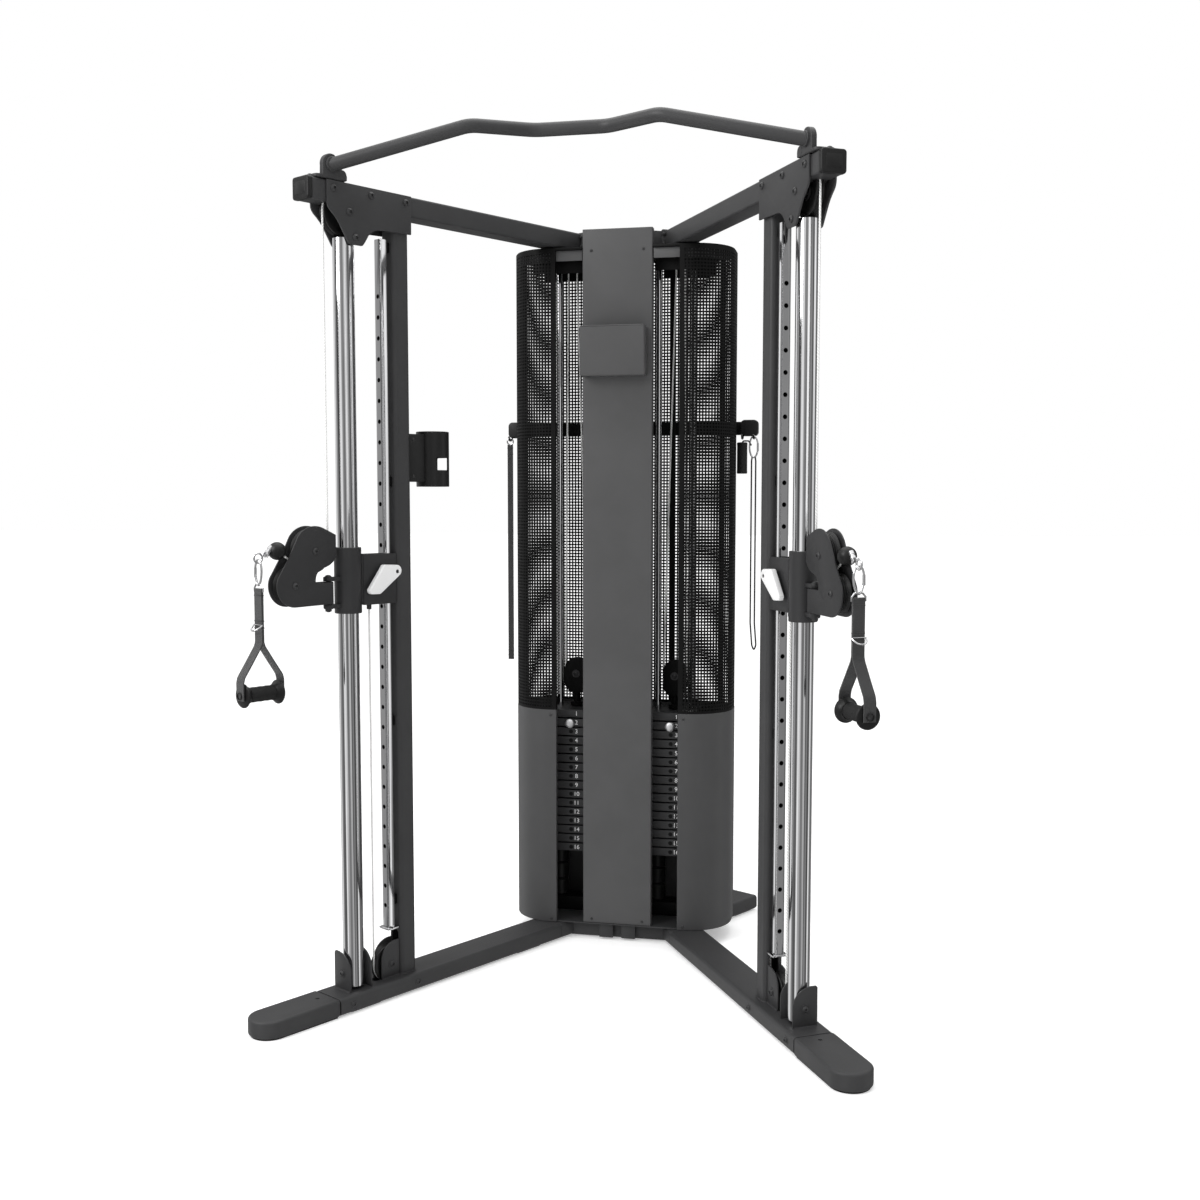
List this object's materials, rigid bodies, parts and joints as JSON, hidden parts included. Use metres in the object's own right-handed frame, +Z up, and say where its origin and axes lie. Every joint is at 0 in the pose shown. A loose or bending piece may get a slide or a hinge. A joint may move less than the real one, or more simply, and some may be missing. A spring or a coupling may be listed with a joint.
{
  "type": "cable crossover machine",
  "caption": "Cable crossover gym machine: weight tower with two angled arms, pulley carriages that slide on posts, hand grips on cables and a pull-up bar.",
  "frame": {"origin": "on the floor, under the centre of the bounding box", "axes": "+Z up, -Y towards the user (the open side between the arms), +X to the right as seen from the user side; the two arms mirror each other across X = 0, apart from the bottle holder on the left one"},
  "size_m": [1.4514, 1.3036, 2.1316],
  "materials": {
    "paint_grey": "textured charcoal powder coat",
    "paint_black": "satin black powder coat",
    "chrome": "polished chrome plating",
    "plate_iron": "satin black coated weight plate",
    "black_plastic": "moulded black plastic",
    "rubber": "soft black rubber",
    "pale_plastic": "pale grey moulded plastic",
    "webbing": "woven black nylon webbing"
  },
  "bodies": {
    "frame": {"base_frame": "paint_grey", "front_leg_left": "paint_grey", "front_leg_right": "paint_grey", "upright_left": "paint_grey", "upright_right": "paint_grey", "top_beam_left": "paint_grey", "top_beam_right": "paint_grey", "gusset_left": "paint_grey", "gusset_right": "paint_grey", "pull_up_bar": "paint_grey", "center_panel": "paint_grey", "media_holder": "paint_grey", "tower_head": "paint_black", "accessory_bar": "paint_black", "side_guard_left": "paint_black", "side_guard_right": "paint_black", "rear_guard": "paint_black", "adjust_rail_left": "chrome", "adjust_rail_right": "chrome", "guide_post_left": "chrome", "guide_post_right": "chrome", "guide_rods_left": "chrome", "guide_rods_right": "chrome", "resting_weights_left": "plate_iron", "resting_weights_right": "plate_iron", "foot_cap_left": "black_plastic", "foot_cap_right": "black_plastic", "bottle_holder": "black_plastic", "cable_left": "pale_plastic", "cable_right": "pale_plastic", "hanging_strap": "webbing", "hanging_handle": "webbing"},
    "top_wheel_left": {"top_pulley_left": "black_plastic"},
    "foot_wheel_left": {"bottom_pulley_left": "black_plastic"},
    "carriage_left": {"carriage_left": "paint_black"},
    "lever_left": {"release_lever_left": "pale_plastic"},
    "swivel_left": {"swivel_bracket_left": "paint_black", "swivel_cable_left": "pale_plastic"},
    "upper_wheel_left": {"swivel_pulley_upper_left": "black_plastic"},
    "lower_wheel_left": {"swivel_pulley_lower_left": "black_plastic"},
    "ball_left": {"stop_ball_left": "rubber"},
    "handle_left": {"handle_strap_left": "webbing"},
    "grip_left": {"grip_left": "rubber"},
    "stack_left": {"lifted_weights_left": "plate_iron"},
    "stack_wheel_left": {"moving_pulley_left": "black_plastic"},
    "pin_left": {"selector_pin_left": "chrome"},
    "top_wheel_right": {"top_pulley_right": "black_plastic"},
    "foot_wheel_right": {"bottom_pulley_right": "black_plastic"},
    "carriage_right": {"carriage_right": "paint_black"},
    "lever_right": {"release_lever_right": "pale_plastic"},
    "swivel_right": {"swivel_bracket_right": "paint_black", "swivel_cable_right": "pale_plastic"},
    "upper_wheel_right": {"swivel_pulley_upper_right": "black_plastic"},
    "lower_wheel_right": {"swivel_pulley_lower_right": "black_plastic"},
    "ball_right": {"stop_ball_right": "rubber"},
    "handle_right": {"handle_strap_right": "webbing"},
    "grip_right": {"grip_right": "rubber"},
    "stack_right": {"lifted_weights_right": "plate_iron"},
    "stack_wheel_right": {"moving_pulley_right": "black_plastic"},
    "pin_right": {"selector_pin_right": "chrome"}
  },
  "joints": [
    {"name": "carriage_slide_left", "type": "slide", "parent": "frame", "child": "carriage_left", "axis": [0, 0, 1], "range_m": [-0.7112, 0.6096], "deforming": ["cable_left"]},
    {"name": "lever_squeeze_left", "type": "hinge", "parent": "carriage_left", "child": "lever_left", "pos_m": [-0.45709, -0.29111, 1.078], "axis": [0.866, -0.5, 0], "range_deg": [0, 20], "stiffness_Nm_per_rad": 1, "springref_deg": -14.32},
    {"name": "swivel_turn_left", "type": "hinge", "parent": "carriage_left", "child": "swivel_left", "pos_m": [-0.5785, -0.42539, 1.032], "axis": [0, 0, -1], "range_deg": [-90, 90]},
    {"name": "upper_wheel_spin_left", "type": "hinge", "parent": "swivel_left", "child": "upper_wheel_left", "pos_m": [-0.60325, -0.46826, 1.134], "axis": [0.866, -0.5, 0], "continuous": true},
    {"name": "lower_wheel_spin_left", "type": "hinge", "parent": "swivel_left", "child": "lower_wheel_left", "pos_m": [-0.632, -0.51806, 1.0545], "axis": [0.866, -0.5, 0], "continuous": true},
    {"name": "cable_pull_left", "type": "slide", "parent": "swivel_left", "child": "ball_left", "axis": [-0.416, -0.7205, 0.5548], "range_m": [0, 1.8], "deforming": ["swivel_cable_left"]},
    {"name": "handle_swing_left", "type": "hinge", "parent": "ball_left", "child": "handle_left", "pos_m": [-0.676, -0.59427, 1.115], "axis": [0.866, -0.5, 0], "range_deg": [-50, 15]},
    {"name": "grip_roll_left", "type": "hinge", "parent": "handle_left", "child": "grip_left", "pos_m": [-0.676, -0.59427, 0.809], "axis": [0.5, 0.866, 0], "continuous": true},
    {"name": "stack_lift_left", "type": "slide", "parent": "frame", "child": "stack_left", "axis": [0, 0, 1], "range_m": [0, 0.9]},
    {"name": "stack_wheel_spin_left", "type": "hinge", "parent": "stack_left", "child": "stack_wheel_left", "pos_m": [-0.145, 0.3616, 0.748], "axis": [0, -1, 0], "continuous": true},
    {"name": "pin_pull_left", "type": "slide", "parent": "stack_left", "child": "pin_left", "axis": [0, -1, 0], "range_m": [0, 0.06]},
    {"name": "top_wheel_spin_left", "type": "hinge", "parent": "frame", "child": "top_wheel_left", "pos_m": [-0.552, -0.37949, 1.934], "axis": [0.866, -0.5, 0], "continuous": true},
    {"name": "foot_wheel_spin_left", "type": "hinge", "parent": "frame", "child": "foot_wheel_left", "pos_m": [-0.495, -0.28076, 0.079], "axis": [0.866, -0.5, 0], "continuous": true},
    {"name": "carriage_slide_right", "type": "slide", "parent": "frame", "child": "carriage_right", "axis": [0, 0, 1], "range_m": [-0.7112, 0.6096], "deforming": ["cable_right"]},
    {"name": "lever_squeeze_right", "type": "hinge", "parent": "carriage_right", "child": "lever_right", "pos_m": [0.45709, -0.29111, 1.078], "axis": [0.866, 0.5, 0], "range_deg": [0, 20], "stiffness_Nm_per_rad": 1, "springref_deg": -14.32},
    {"name": "swivel_turn_right", "type": "hinge", "parent": "carriage_right", "child": "swivel_right", "pos_m": [0.5785, -0.42539, 1.032], "axis": [0, 0, 1], "range_deg": [-90, 90]},
    {"name": "upper_wheel_spin_right", "type": "hinge", "parent": "swivel_right", "child": "upper_wheel_right", "pos_m": [0.60325, -0.46826, 1.134], "axis": [0.866, 0.5, 0], "continuous": true},
    {"name": "lower_wheel_spin_right", "type": "hinge", "parent": "swivel_right", "child": "lower_wheel_right", "pos_m": [0.632, -0.51806, 1.0545], "axis": [0.866, 0.5, 0], "continuous": true},
    {"name": "cable_pull_right", "type": "slide", "parent": "swivel_right", "child": "ball_right", "axis": [0.416, -0.7205, 0.5548], "range_m": [0, 1.8], "deforming": ["swivel_cable_right"]},
    {"name": "handle_swing_right", "type": "hinge", "parent": "ball_right", "child": "handle_right", "pos_m": [0.676, -0.59427, 1.115], "axis": [0.866, 0.5, 0], "range_deg": [-50, 15]},
    {"name": "grip_roll_right", "type": "hinge", "parent": "handle_right", "child": "grip_right", "pos_m": [0.676, -0.59427, 0.809], "axis": [0.5, -0.866, 0], "continuous": true},
    {"name": "stack_lift_right", "type": "slide", "parent": "frame", "child": "stack_right", "axis": [0, 0, 1], "range_m": [0, 0.9]},
    {"name": "stack_wheel_spin_right", "type": "hinge", "parent": "stack_right", "child": "stack_wheel_right", "pos_m": [0.145, 0.3616, 0.748], "axis": [0, 1, 0], "continuous": true},
    {"name": "pin_pull_right", "type": "slide", "parent": "stack_right", "child": "pin_right", "axis": [0, -1, 0], "range_m": [0, 0.06]},
    {"name": "top_wheel_spin_right", "type": "hinge", "parent": "frame", "child": "top_wheel_right", "pos_m": [0.552, -0.37949, 1.934], "axis": [0.866, 0.5, 0], "continuous": true},
    {"name": "foot_wheel_spin_right", "type": "hinge", "parent": "frame", "child": "foot_wheel_right", "pos_m": [0.495, -0.28076, 0.079], "axis": [0.866, 0.5, 0], "continuous": true}
  ],
  "couplings": [
    {"joint": "cable_pull_left", "follows": "stack_lift_left", "ratio": 2},
    {"joint": "upper_wheel_spin_left", "follows": "stack_lift_left", "rad_per_m": -40.404},
    {"joint": "top_wheel_spin_left", "follows": "stack_lift_left", "rad_per_m": 37.736},
    {"joint": "stack_wheel_spin_left", "follows": "stack_lift_left", "rad_per_m": -29.412},
    {"joint": "foot_wheel_spin_left", "follows": "carriage_slide_left", "rad_per_m": -22.472},
    {"joint": "cable_pull_right", "follows": "stack_lift_right", "ratio": 2},
    {"joint": "upper_wheel_spin_right", "follows": "stack_lift_right", "rad_per_m": -40.404},
    {"joint": "top_wheel_spin_right", "follows": "stack_lift_right", "rad_per_m": 37.736},
    {"joint": "stack_wheel_spin_right", "follows": "stack_lift_right", "rad_per_m": -29.412},
    {"joint": "foot_wheel_spin_right", "follows": "carriage_slide_right", "rad_per_m": -22.472}
  ]
}
